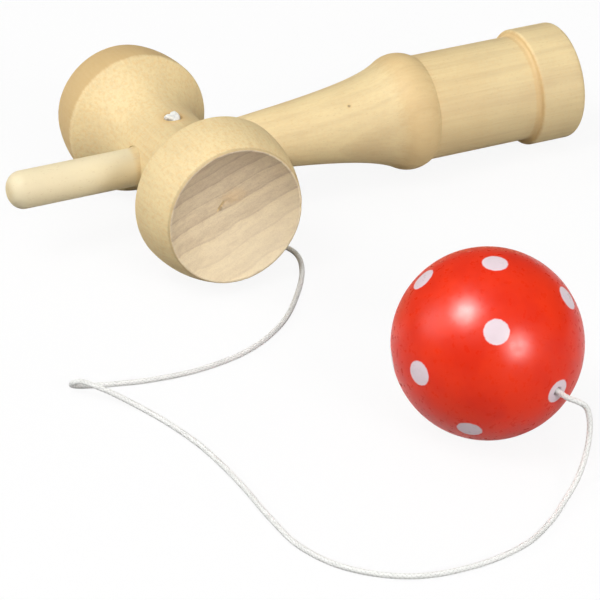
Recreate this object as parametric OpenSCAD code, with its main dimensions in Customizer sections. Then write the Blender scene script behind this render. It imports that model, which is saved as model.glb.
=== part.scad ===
// Cup and ball toy: a turned handle with a spike, a cross piece with two cups, and a ball on a string.
// The handle lies along X with its spike towards -X, the large cup faces -Y, and the floor is at z = 0.

/* [Handle] */
// Distance from the cross piece's middle to the tip of the spike
spike_reach = 52; // [40:0.5:70]
// Diameter of the free spike
spike_d = 11.2; // [8:0.1:11.6]
// Radius of the rounding at the spike's tip
spike_tip_round = 4.6; // [1:0.1:5]
// Diameter of the handle where it runs through the cross piece
root_d = 12; // [12:0.1:13]
// Diameter of the neck where it leaves the cross piece
neck_d = 14.8; // [14:0.1:18]
// Depth that the neck's shoulder sits past the cross piece's middle
shoulder_depth = 4; // [3:0.5:8]
// Distance from the middle to the widest ring of the bulge
bulge_x = 74.4; // [70:0.2:80]
// Diameter of the bulge
bulge_d = 35.4; // [32.5:0.1:38]
// Radius of the bulge's rounding along the handle
bulge_round = 9; // [7:0.5:12]
// Diameter of the grip
grip_d = 31.8; // [28:0.1:33]
// Distance from the middle to the step of the base ring
ring_x = 113.6; // [100:0.2:118]
// Diameter of the base ring
ring_d = 35.6; // [34:0.1:40]
// Distance from the middle to the end of the base
base_x = 128.2; // [122:0.2:140]
// Radius of the rounded edge at the base
base_round = 1.8; // [0.6:0.1:2.4]
// Diameter of the cup in the base
base_cup_d = 29.4; // [22:0.2:30]
// Depth of the cup in the base
base_cup_depth = 6.6; // [4:0.1:9]

/* [Cross piece] */
// Distance from the middle to the rim of the large cup
big_reach = 43.8; // [40:0.2:50]
// Diameter of the large cup's rim
big_rim_d = 41.2; // [36:0.2:44]
// Widest diameter of the large cup
big_d = 47.6; // [45:0.2:52]
// Distance from the middle to the large cup's widest ring
big_shoulder = 27.2; // [25:0.2:32]
// Depth of the large cup
big_depth = 9.4; // [5:0.1:12]
// Distance from the middle to the rim of the small cup
small_reach = 42.6; // [38:0.2:48]
// Diameter of the small cup's rim
small_rim_d = 39.2; // [34:0.2:41]
// Widest diameter of the small cup
small_d = 43.4; // [42:0.2:46]
// Distance from the middle to the small cup's widest ring
small_shoulder = 27.6; // [25:0.2:32]
// Depth of the small cup
small_depth = 8.6; // [5:0.1:11]
// Diameter of the waist
waist_d = 26.6; // [24:0.2:30]
// Wall between a cup's hollow and its outside at the rim
rim_wall = 1; // [0.6:0.1:2]
// Radius of the rounding at both widest rings
shoulder_round = 1.4; // [0.8:0.2:4]
// Slope of both flanks where they leave the widest rings
flank_angle = 50; // [36:1:60]

/* [Ball] */
// Diameter of the ball
ball_d = 51; // [46:0.5:60]
// Place of the ball along the handle's direction
ball_x = -9; // [-12:0.5:-6]
// Place of the ball across the handle's direction
ball_y = -77.5; // [-80:0.5:-75]
// Compass heading in which the string leaves the ball
hole_heading = -72; // [-75:1:-69]
// Angle below level at which the string leaves the ball
hole_drop = 9; // [6:1:12]
// Diameter of the hole that takes the spike
bore_d = 16; // [13:0.2:18]
// Depth of the spike's hole below the ball's top
bore_depth = 32; // [24:0.5:34]
// Width of the bevel at the mouth of the spike's hole
bore_bevel = 1.4; // [0.5:0.1:2.5]
// Diameter of the chamber that takes the bead
chamber_d = 9.6; // [8.8:0.1:12]
// Thickness of the ball between the chamber and the string's outlet
chamber_wall = 7; // [5:0.5:9]
// Diameter of the string's hole in the ball
ball_hole_d = 2.4; // [2.2:0.1:3]

/* [String] */
// Diameter of the string
string_d = 1.5; // [1:0.1:1.6]
// Diameter of the string's hole through the cross piece and the handle
string_hole_d = 2.8; // [2.4:0.1:3.4]
// Diameter of the pocket for the upper knot
pocket_d = 5.6; // [5:0.1:7]
// Depth of the pocket for the upper knot
pocket_depth = 3; // [2:0.1:4]
// Diameter of the knots
knot_d = 4.2; // [3.6:0.1:4.8]
// Diameter of the bead that holds the string in the ball
bead_d = 8.4; // [7:0.1:8.6]
// Length of the bead
bead_len = 6.4; // [4:0.2:7]

/* [Fits] */
// Radial clearance of the handle in the cross piece
fit_gap = 0.05; // [0.02:0.01:0.1]
// Clearance between pieces that turn on each other
run_gap = 0.2; // [0.1:0.05:0.3]
// Clearance on each side of a place where the string flexes
flex_gap = 0.34; // [0.3:0.02:0.45]

/* [Hidden] */
$fn = 96;
wood = [0.93, 0.83, 0.62];
red = [0.9, 0.16, 0.08];
white = [0.93, 0.92, 0.9];

// Where the cross piece's middle stands over the floor
toy_x = -38;
toy_y = 62;

// Radii of the turned forms
spike_r = spike_d / 2;
root_r = root_d / 2;
neck_r = neck_d / 2;
bulge_r = bulge_d / 2;
grip_r = grip_d / 2;
ring_r = ring_d / 2;
base_cup_r = base_cup_d / 2;
big_r = big_d / 2;
small_r = small_d / 2;
waist_r = waist_d / 2;
ball_r = ball_d / 2;
bore_r = bore_d / 2;
string_r = string_d / 2;
knot_r = knot_d / 2;

// The spike widens to the root inside the waist, and the neck starts to widen just clear of it
root_inset = 2.4;
root_taper = 3;
root_x = root_inset - waist_r;
neck_clear = 0.4;

// Slopes of the neck's line at both ends, and the share of its length over which each one rules
neck_slope = 5;
neck_pull = 0.53;
flare_slope = 30;
flare_pull = 0.14;

// The waist is straight where the handle's bore runs through it
bore_land = 1;
waist_flat = neck_r + fit_gap + bore_land;

// Resting pose: both widest rings of the cross piece and the base ring touch the floor
roll_lean = atan((big_r - small_r) / (big_shoulder + small_shoulder));
middle_z = (big_r - shoulder_round) * cos(roll_lean) + shoulder_round - big_shoulder * sin(roll_lean);
foot_x = base_x - base_round;
foot_r = ring_r - base_round;
pitch = asin((middle_z - base_round) / norm([foot_x, foot_r])) - atan2(foot_r, foot_x);
roll = -asin(sin(roll_lean) / cos(pitch));

// Places along the ball's axis, measured from its centre towards the string's outlet
bore_end = bore_depth - ball_r;
chamber_end = ball_r - chamber_wall;
bead_end = chamber_end - run_gap;
bead_start = bead_end - bead_len;
bead_hole_d = string_d + 2 * run_gap;
bead_round = 2;

// Curves in a turned outline, as [radius, place along the axis]
arc_steps = 12;
curve_steps = 16;
function arc(centre, r, from, to) =
    [for (i = [0 : arc_steps]) let (a = from + (to - from) * i / arc_steps)
        centre + r * [cos(a), sin(a)]];
function bend(p, q, s) =
    [for (i = [0 : curve_steps]) let (t = i / curve_steps)
        (1 - t) * (1 - t) * p + 2 * t * (1 - t) * q + t * t * s];
function sweep(p, q, s, e) =
    [for (i = [0 : curve_steps]) let (t = i / curve_steps, u = 1 - t)
        u * u * u * p + 3 * u * u * t * q + 3 * u * t * t * s + t * t * t * e];

// Hollow of a cup from its rim to its bottom on the axis; dir points out of the cup
function hollow(rim_r, reach, depth, dir) =
    let (r = (rim_r * rim_r + depth * depth) / (2 * depth), span = asin(rim_r / r))
    [for (i = [0 : curve_steps]) let (a = span * (1 - i / curve_steps))
        [r * sin(a), dir * (reach - depth + r - r * cos(a))]];

// Outside of a cup from its rim to the waist; dir points out of the cup
function cup_outside(rim_r, reach, wide_r, shoulder, dir) =
    let (
        core = wide_r - shoulder_round,
        flank = [core + shoulder_round * cos(flank_angle), shoulder - shoulder_round * sin(flank_angle)],
        turn = [waist_r, flank[1] - (flank[0] - waist_r) / tan(flank_angle)],
        edge = [rim_r - rim_wall / 2, reach - rim_wall / 2],
        side = concat(
            arc(edge, rim_wall / 2, 180, 0),
            bend([rim_r, edge[1]], [wide_r, (shoulder + reach) / 2], [wide_r, shoulder]),
            arc([core, shoulder], shoulder_round, 0, -flank_angle),
            bend(flank, turn, [waist_r, waist_flat])))
    [for (p = side) [p[0], dir * p[1]]];

// Points closer than this count as one
same = 0.001;
function distinct(points) =
    [for (i = [0 : len(points) - 1]) if (i == 0 || norm(points[i] - points[i - 1]) > same) points[i]];
function reverse(points) = [for (i = [len(points) - 1 : -1 : 0]) points[i]];

// String route over the floor, from under the cross piece round to the ball, in the shared frame
lie = 0.8;
ROUTE = [
    [-38.5, 61.5, 9.3], [-38, 61, 4], [-35, 58.5, 1.2], [-28, 52, lie], [-20, 42, lie],
    [-15, 31, lie], [-17.2, 20.4, lie], [-25.6, 6.6, lie], [-36, -5.2, lie], [-50, -13.6, lie],
    [-66, -16.4, lie], [-80, -15, lie], [-90.6, -11.9, lie], [-97.6, -9.1, lie], [-99.6, -8.8, 1.3],
    [-100.9, -9.8, 2.6], [-100.7, -11.3, 4], [-99.2, -12.8, 4.7], [-96.8, -16, 4.5], [-93.6, -19.5, 3.4],
    [-89.9, -24.5, 1.9], [-86.8, -30.2, 0.9], [-84.2, -38.4, lie], [-81.3, -51.6, lie], [-79.9, -65, lie],
    [-79.4, -78, lie], [-79.4, -91, lie], [-78, -107, lie], [-71.3, -121.2, lie], [-58.5, -131.6, lie],
    [-43, -134.6, lie], [-28, -132.4, lie], [-17.2, -126.4, lie], [-9.2, -119.9, 1.2], [-3.5, -115.8, 3.2],
    [0.6, -112.7, 7], [3, -110.5, 11], [4.1, -108.8, 15.3], [3.7, -107.6, 18.6], [1.8, -106.8, 20.4],
    [-0.4, -104.9, 21.3], [-1.2, -101.5, 21.5]
];
// Index of the points where the string flexes
fold_at = 10;
lift_at = 25;

// Ball axis: the string leaves along this direction
outlet = [cos(hole_drop) * cos(hole_heading), cos(hole_drop) * sin(hole_heading), -sin(hole_drop)];
ball_centre = [ball_x, ball_y, ball_r];
string_end = ball_centre + bead_end * outlet;
WAY = concat(ROUTE, [string_end]);

// Smooth curve through the way's points
function unit(v) = v / norm(v);
function heading(i) =
    let (last = len(WAY) - 1)
    i == 0 ? [0, 0, -1] : i == last ? -outlet : unit(WAY[i + 1] - WAY[i - 1]);
function between(i, t) =
    let (span = norm(WAY[i + 1] - WAY[i]), t2 = t * t, t3 = t2 * t)
    (2 * t3 - 3 * t2 + 1) * WAY[i] + (t3 - 2 * t2 + t) * span * heading(i)
    + (3 * t2 - 2 * t3) * WAY[i + 1] + (t3 - t2) * span * heading(i + 1);

// Centres of the rings of one stretch, with its ends drawn back by the given gaps
function stretch(from, to, start_gap, end_gap) = concat(
    [WAY[from] + start_gap * heading(from)],
    [for (i = [from : to - 1]) each concat(i == from ? [] : [WAY[i]], [between(i, 0.5)])],
    [WAY[to] - end_gap * heading(to)]);

// Ring axes are carried along the stretch without twist
function square_to(v, t) = unit(v - (v * t) * t);
string_sides = 8;
steep = 0.7;
module tube(centres, start, end) {
    last = len(centres) - 1;
    dirs = [for (i = [0 : last])
        i == 0 ? start : i == last ? end : unit(centres[i + 1] - centres[i - 1])];
    first = square_to(abs(start[2]) > steep ? [1, 0, 0] : [0, 0, 1], start);
    sides = [for (i = 0, s = first; i <= last; i = i + 1, s = i > last ? s : square_to(s, dirs[i])) s];
    points = [for (i = [0 : last]) for (k = [0 : string_sides - 1])
        let (a = 360 * k / string_sides, up = cross(dirs[i], sides[i]))
        centres[i] + string_r * (cos(a) * sides[i] + sin(a) * up)];
    walls = [for (i = [0 : last - 1]) for (k = [0 : string_sides - 1])
        let (a = i * string_sides + k, b = i * string_sides + (k + 1) % string_sides)
        each [[a, a + string_sides, b], [b, a + string_sides, b + string_sides]]];
    tail = last * string_sides;
    caps = [for (k = [1 : string_sides - 2]) each [[0, k, k + 1], [tail, tail + k + 1, tail + k]]];
    polyhedron(points, concat(walls, caps));
}

// Placing: the handle and cross piece in their resting pose, and the ball on its axis
module rest() {
    translate([toy_x, toy_y, middle_z])
        rotate([roll, pitch, 0])
            children();
}
module on_ball_axis() {
    translate(ball_centre)
        rotate([0, 90 + hole_drop, hole_heading])
            children();
}
module string_hole() {
    cylinder(h = 4 * waist_r, d = string_hole_d, center = true);
}

// One turned piece: spike, neck, bulge, grip and base with its cup
module handle_outline() {
    tip = [spike_r - spike_tip_round, spike_tip_round - spike_reach];
    bulge = [bulge_r - bulge_round, bulge_x];
    neck_start = [neck_r, waist_r + neck_clear];
    neck_end = bulge + bulge_round * [cos(flare_slope), -sin(flare_slope)];
    neck_len = neck_end[1] - neck_start[1];
    neck_out = neck_start + neck_pull * neck_len * [tan(neck_slope), 1];
    flare_in = neck_end - flare_pull * neck_len * [tan(flare_slope), 1];
    grip_angle = acos((grip_r - bulge[0]) / bulge_round);
    step = (ring_r - grip_r) / 2;
    polygon(distinct(concat(
        [[0, -spike_reach]],
        arc(tip, spike_tip_round, -90, 0),
        [[spike_r, root_x - root_taper], [root_r, root_x], [root_r, shoulder_depth]],
        [[neck_r, shoulder_depth]],
        sweep(neck_start, neck_out, flare_in, neck_end),
        arc(bulge, bulge_round, -flare_slope, grip_angle),
        arc([grip_r + step, ring_x - step], step, 180, 90),
        arc([ring_r - step, ring_x + step], step, -90, 0),
        arc([foot_r, foot_x], base_round, 0, 90),
        hollow(base_cup_r, base_x, base_cup_depth, 1))));
}
module handle() {
    color(wood) rest() difference() {
        rotate([0, 90, 0]) rotate_extrude() handle_outline();
        string_hole();
    }
}

// Spool with a cup at each end, bored across for the handle and the string
module cross_piece_outline() {
    big_rim_r = big_rim_d / 2;
    small_rim_r = small_rim_d / 2;
    polygon(distinct(concat(
        reverse(hollow(big_rim_r - rim_wall, big_reach - rim_wall / 2, big_depth, -1)),
        cup_outside(big_rim_r, big_reach, big_r, big_shoulder, -1),
        reverse(cup_outside(small_rim_r, small_reach, small_r, small_shoulder, 1)),
        hollow(small_rim_r - rim_wall, small_reach - rim_wall / 2, small_depth, 1))));
}
module cross_piece() {
    color(wood) rest() difference() {
        rotate([-90, 0, 0]) rotate_extrude() cross_piece_outline();
        rotate([0, 90, 0]) cylinder(h = 4 * waist_r, r = root_r + fit_gap, center = true);
        translate([shoulder_depth - fit_gap, 0, 0]) rotate([0, 90, 0])
            cylinder(h = 2 * waist_r, r = neck_r + fit_gap);
        string_hole();
        translate([0, 0, waist_r - pocket_depth]) cylinder(h = waist_r, d = pocket_d);
    }
}

// Knot with a stem of string below it; the stem ends at the given depth under the knot's flat seat
knot_seat = 0.7;
module knot_on_stem(stem) {
    seat_r = knot_seat * knot_r;
    lift = sqrt(knot_r * knot_r - seat_r * seat_r);
    rotate_extrude() {
        intersection() {
            translate([0, lift]) circle(r = knot_r);
            square([2 * knot_r, 3 * knot_r]);
        }
        translate([0, -stem]) square([string_r, stem + lift]);
    }
}
module upper_knot() {
    seat = waist_r - pocket_depth + run_gap;
    color(white) rest() translate([0, 0, seat]) knot_on_stem(seat + waist_r);
}
module lower_knot() {
    color(white) on_ball_axis()
        translate([0, 0, bead_start - run_gap]) mirror([0, 0, 1]) knot_on_stem(bead_len + run_gap);
}

// Barrel bead that the string runs through, held by the lower knot
module bead() {
    bead_r = bead_d / 2;
    side = bead_r - bead_round;
    color(wood) on_ball_axis() translate([0, 0, bead_start]) rotate_extrude() polygon(concat(
        [[bead_hole_d / 2, 0]],
        arc([side, bead_round], bead_round, -90, 0),
        arc([side, bead_len - bead_round], bead_round, 0, 90),
        [[bead_hole_d / 2, bead_len]]));
}

// Ball with a bevelled hole for the spike, a chamber for the bead and the string's outlet
module ball() {
    mouth_r = bore_r + bore_bevel;
    mouth = sqrt(ball_r * ball_r - mouth_r * mouth_r);
    color(red) on_ball_axis() difference() {
        sphere(r = ball_r);
        translate([0, 0, -ball_d]) cylinder(h = ball_d + bore_end, r = bore_r);
        translate([0, 0, -mouth - bore_bevel])
            cylinder(h = 2 * bore_bevel, r1 = mouth_r + bore_bevel, r2 = bore_r);
        translate([0, 0, -bore_r]) cylinder(h = bore_r + chamber_end, d = chamber_d);
        cylinder(h = ball_d, d = ball_hole_d);
    }
}
module string_inner() {
    color(white) tube(stretch(0, fold_at, flex_gap, flex_gap), heading(0), heading(fold_at));
}
module string_middle() {
    color(white) tube(stretch(fold_at, lift_at, flex_gap, flex_gap), heading(fold_at), heading(lift_at));
}
module string_outer() {
    last = len(WAY) - 1;
    color(white) tube(stretch(lift_at, last, flex_gap, 0), heading(lift_at), heading(last));
}

handle();
cross_piece();
upper_knot();
string_inner();
string_middle();
string_outer();
bead();
lower_knot();
ball();
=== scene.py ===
"""Looks of the cup and ball toy: turned wood, a lacquered ball with dots and a braided string.

Lengths are in metres in the shared frame: the handle lies along X with its spike towards -X,
the large cup faces -Y and the floor is at z = 0. The finishes count in millimetres.
"""

from __future__ import annotations

import logging
import math
from dataclasses import dataclass, field
from enum import Enum
from functools import reduce
from typing import ClassVar

import bmesh
import bpy
import numpy as np
from mathutils import Matrix, Vector, noise

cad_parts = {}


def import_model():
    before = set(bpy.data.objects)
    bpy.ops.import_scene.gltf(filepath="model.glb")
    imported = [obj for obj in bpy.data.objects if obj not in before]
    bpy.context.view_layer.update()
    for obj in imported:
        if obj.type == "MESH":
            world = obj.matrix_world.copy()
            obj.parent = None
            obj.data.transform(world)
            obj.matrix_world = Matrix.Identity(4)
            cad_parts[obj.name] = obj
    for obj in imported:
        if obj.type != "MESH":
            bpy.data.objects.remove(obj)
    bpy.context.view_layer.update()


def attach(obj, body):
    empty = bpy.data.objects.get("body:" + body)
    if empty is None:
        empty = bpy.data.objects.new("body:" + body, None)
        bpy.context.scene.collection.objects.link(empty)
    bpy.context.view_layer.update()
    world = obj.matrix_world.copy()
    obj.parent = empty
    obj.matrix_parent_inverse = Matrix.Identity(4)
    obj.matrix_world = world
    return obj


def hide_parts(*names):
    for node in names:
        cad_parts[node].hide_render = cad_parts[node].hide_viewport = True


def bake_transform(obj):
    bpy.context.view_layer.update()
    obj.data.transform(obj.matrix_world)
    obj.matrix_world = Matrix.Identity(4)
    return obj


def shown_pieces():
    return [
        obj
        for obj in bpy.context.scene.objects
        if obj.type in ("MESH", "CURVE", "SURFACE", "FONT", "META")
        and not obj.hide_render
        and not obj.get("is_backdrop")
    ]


MM = 0.001
# Points of an outline nearer than this are one point
SAME = 1e-7
# Points of a cut nearer than this are one point
WELD = 0.002 * MM
# Room along the string between a bead or knot and its seat
SEAT_GAP = 0.2 * MM
STRAND_HEIGHT = "strand_height"
log = logging.getLogger("cup_and_ball")

Point = tuple[float, float]
Triple = tuple[float, float, float]
Colour = tuple[float, float, float]
# Low and high end that a number is read over, and what it gives at these ends
Reading = tuple[float, ...]
NodeSocket = bpy.types.NodeSocket
Number = float | NodeSocket
Place = Triple | NodeSocket
Paint = Colour | NodeSocket


# Outlines of turned pieces


def arc(centre: Point, radius: float, start: float, end: float, steps: int) -> list[Point]:
    """Points on an arc of an outline.

    Args:
        centre: The arc's middle, as (radius, place along the axis).
        radius: The arc's own radius.
        start: Angle of the first point, in degrees from the outward direction.
        end: Angle of the last point.
        steps: Number of steps along the arc.

    Returns:
        The points from start to end.
    """
    angles = np.radians(np.linspace(start, end, steps + 1))
    return [(centre[0] + radius * math.cos(a), centre[1] + radius * math.sin(a)) for a in angles]


def curve(handles: list[Point], steps: int) -> list[Point]:
    """Points on a Bezier curve.

    Args:
        handles: Three or four control points.
        steps: Number of steps along the curve.

    Returns:
        The points from the first handle to the last.
    """
    points = []
    for t in np.linspace(0.0, 1.0, steps + 1):
        level = [np.array(h, float) for h in handles]
        while len(level) > 1:
            level = [(1 - t) * a + t * b for a, b in zip(level, level[1:])]
        points.append((float(level[0][0]), float(level[0][1])))
    return points


def line(start: Point, end: Point, gap: float = 1.5 * MM) -> list[Point]:
    """Points on a straight stretch of an outline.

    Args:
        start: First point.
        end: Last point.
        gap: About how far the points are apart.

    Returns:
        The points from start to end.
    """
    steps = max(1, round(math.dist(start, end) / gap))
    first, reach = np.array(start), np.array(end) - np.array(start)
    return [tuple(first + reach * i / steps) for i in range(steps + 1)]


def stepped(*points: Point) -> list[list[Point]]:
    """Straight stretches from point to point, with a crisp edge between each two."""
    return [line(start, end) for start, end in zip(points, points[1:])]


def bowl_radius(rim: float, depth: float) -> float:
    """Radius of the sphere that a hollow of that rim and depth is a part of."""
    return (rim * rim + depth * depth) / (2 * depth)


def hollow(rim: float, reach: float, depth: float, way: int, steps: int) -> list[Point]:
    """Points of a cup's hollow, a part of a sphere, from its rim to its bottom.

    Args:
        rim: Radius of the hollow at its rim.
        reach: Place of the rim along the axis, from the middle outwards.
        depth: Depth of the hollow.
        way: 1 where the cup opens along the axis, -1 where it opens against it.
        steps: Number of steps from rim to bottom.

    Returns:
        The points from rim to bottom.
    """
    radius = bowl_radius(rim, depth)
    span = math.asin(rim / radius)
    points = []
    for i in range(steps + 1):
        a = span * (1 - i / steps)
        points.append((radius * math.sin(a), way * (reach - depth + radius - radius * math.cos(a))))
    return points


def turned_mesh(
    name: str, runs: list[list[Point]], sides: int, closed: bool = False
) -> bpy.types.Mesh:
    """Mesh of a piece turned about its Z axis.

    Args:
        name: Name of the mesh.
        runs: Smooth stretches of the outline, in order; the edge between two stretches is crisp.
        sides: Number of steps round the axis.
        closed: True where the outline's end joins its start, as in a piece that is bored through.

    Returns:
        The mesh, with crisp edges marked sharp.
    """
    points: list[Point] = []
    crisp: set[int] = set()
    for run in runs:
        for p in run:
            if not points or math.dist(p, points[-1]) > SAME:
                points.append(p)
        crisp.add(len(points) - 1)
    if closed and math.dist(points[0], points[-1]) < SAME:
        points.pop()
        crisp.discard(len(points))
        crisp.add(0)
    verts: list[Triple] = []
    rings: list[list[int]] = []
    for r, z in points:
        first = len(verts)
        if r < SAME:
            verts.append((0.0, 0.0, z))
            rings.append([first] * sides)
            continue
        for k in range(sides):
            a = 2 * math.pi * k / sides
            verts.append((r * math.cos(a), r * math.sin(a), z))
        rings.append(list(range(first, first + sides)))
    faces = []
    pairs = list(zip(rings, rings[1:])) + ([(rings[-1], rings[0])] if closed else [])
    for low, high in pairs:
        for k in range(sides):
            after = (k + 1) % sides
            faces.append(list(dict.fromkeys((low[k], low[after], high[after], high[k]))))
    mesh = bpy.data.meshes.new(name)
    mesh.from_pydata(verts, [], faces)
    bm = bmesh.new()
    bm.from_mesh(mesh)
    bmesh.ops.recalc_face_normals(bm, faces=bm.faces)
    marked = {
        frozenset((rings[i][k], rings[i][(k + 1) % sides])) for i in crisp for k in range(sides)
    }
    for face in bm.faces:
        face.smooth = True
    for edge in bm.edges:
        if frozenset(v.index for v in edge.verts) in marked:
            edge.smooth = False
    bm.to_mesh(mesh)
    bm.free()
    return mesh


def placed(name: str, data: bpy.types.ID, matrix: Matrix) -> bpy.types.Object:
    """A new object in the scene.

    Args:
        name: The object's name.
        data: Its mesh, lamp or camera.
        matrix: Its place.

    Returns:
        The object.
    """
    obj = bpy.data.objects.new(name, data)
    bpy.context.scene.collection.objects.link(obj)
    obj.matrix_world = matrix
    return obj


def bored(
    obj: bpy.types.Object, cutters: list[bpy.types.Object], crisp_angle: float = 30.0
) -> None:
    """Cuts holes into a piece and marks their edges sharp.

    Args:
        obj: The piece, with its mesh still its own.
        cutters: Closed solids to take away; they are removed afterwards.
        crisp_angle: Edges that turn by more than this many degrees are sharp.
    """
    for cutter in cutters:
        cut = obj.modifiers.new("bore", "BOOLEAN")
        cut.operation = "DIFFERENCE"
        cut.solver = "EXACT"
        cut.object = cutter
    bpy.context.view_layer.update()
    shaped = obj.evaluated_get(bpy.context.evaluated_depsgraph_get())
    mesh = bpy.data.meshes.new_from_object(shaped)
    obj.modifiers.clear()
    obj.data = mesh
    for cutter in cutters:
        bpy.data.objects.remove(cutter)
    bm = bmesh.new()
    bm.from_mesh(mesh)
    bmesh.ops.remove_doubles(bm, verts=bm.verts, dist=WELD)
    limit = math.radians(crisp_angle)
    for face in bm.faces:
        face.smooth = True
    for edge in bm.edges:
        if len(edge.link_faces) == 2 and edge.calc_face_angle() > limit:
            edge.smooth = False
    bm.to_mesh(mesh)
    bm.free()


# Tubes of cord


def unit(rows: np.ndarray) -> np.ndarray:
    """The same directions, each of length 1."""
    return rows / np.linalg.norm(rows, axis=1, keepdims=True)


def round_turns(sides: int) -> np.ndarray:
    """Even angles round a tube."""
    return 2 * math.pi * np.arange(sides) / sides


def sleeve(
    centres: np.ndarray, side: np.ndarray, up: np.ndarray, radius: np.ndarray
) -> list[list[float]]:
    """Points of a tube, ring by ring.

    Args:
        centres: Points of the tube's middle line.
        side: A direction square to the line at each of them.
        up: The direction square to both.
        radius: The tube's radius, for each point and each step round it.

    Returns:
        The points.
    """
    turn = round_turns(radius.shape[1])[None, :, None]
    ring = np.cos(turn) * side[:, None] + np.sin(turn) * up[:, None]
    return (centres[:, None] + radius[..., None] * ring).reshape(-1, 3).tolist()


def sleeve_faces(rows: int, sides: int, closed: bool) -> list[tuple[int, ...]]:
    """Faces between the rings of a tube.

    Args:
        rows: Number of rings.
        sides: Number of points on each.
        closed: True where the last ring joins the first.

    Returns:
        The faces, as numbers of points.
    """
    faces = []
    for i in range(rows if closed else rows - 1):
        low, high = i * sides, (i + 1) % rows * sides
        for k in range(sides):
            after = (k + 1) % sides
            faces.append((low + k, low + after, high + after, high + k))
    return faces


def mark_strands(mesh: bpy.types.Mesh, heights: np.ndarray) -> None:
    """Notes on a mesh how high each of its points stands on the string's strands.

    Args:
        mesh: The mesh.
        heights: A number from 0 to 1 for each of its points.
    """
    noted = mesh.attributes.new(STRAND_HEIGHT, "FLOAT", "POINT")
    noted.data.foreach_set("value", heights.ravel().astype(np.float32))


# Finishes


class Socket(Enum):
    """Inputs of the main shader that a finish sets or drives."""

    COLOUR = "Base Color"
    ROUGHNESS = "Roughness"
    NORMAL = "Normal"
    SPECULAR = "Specular IOR Level"
    SHEEN = "Sheen Weight"
    SHEEN_ROUGHNESS = "Sheen Roughness"


@dataclass(frozen=True)
class Speckle:
    """A noise: its scale per millimetre, fineness, roughness and swirl, and how it is read."""

    scale: float
    detail: float = 2.0
    rough: float = 0.5
    swirl: float = 0.0
    read: Reading = ()


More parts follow.
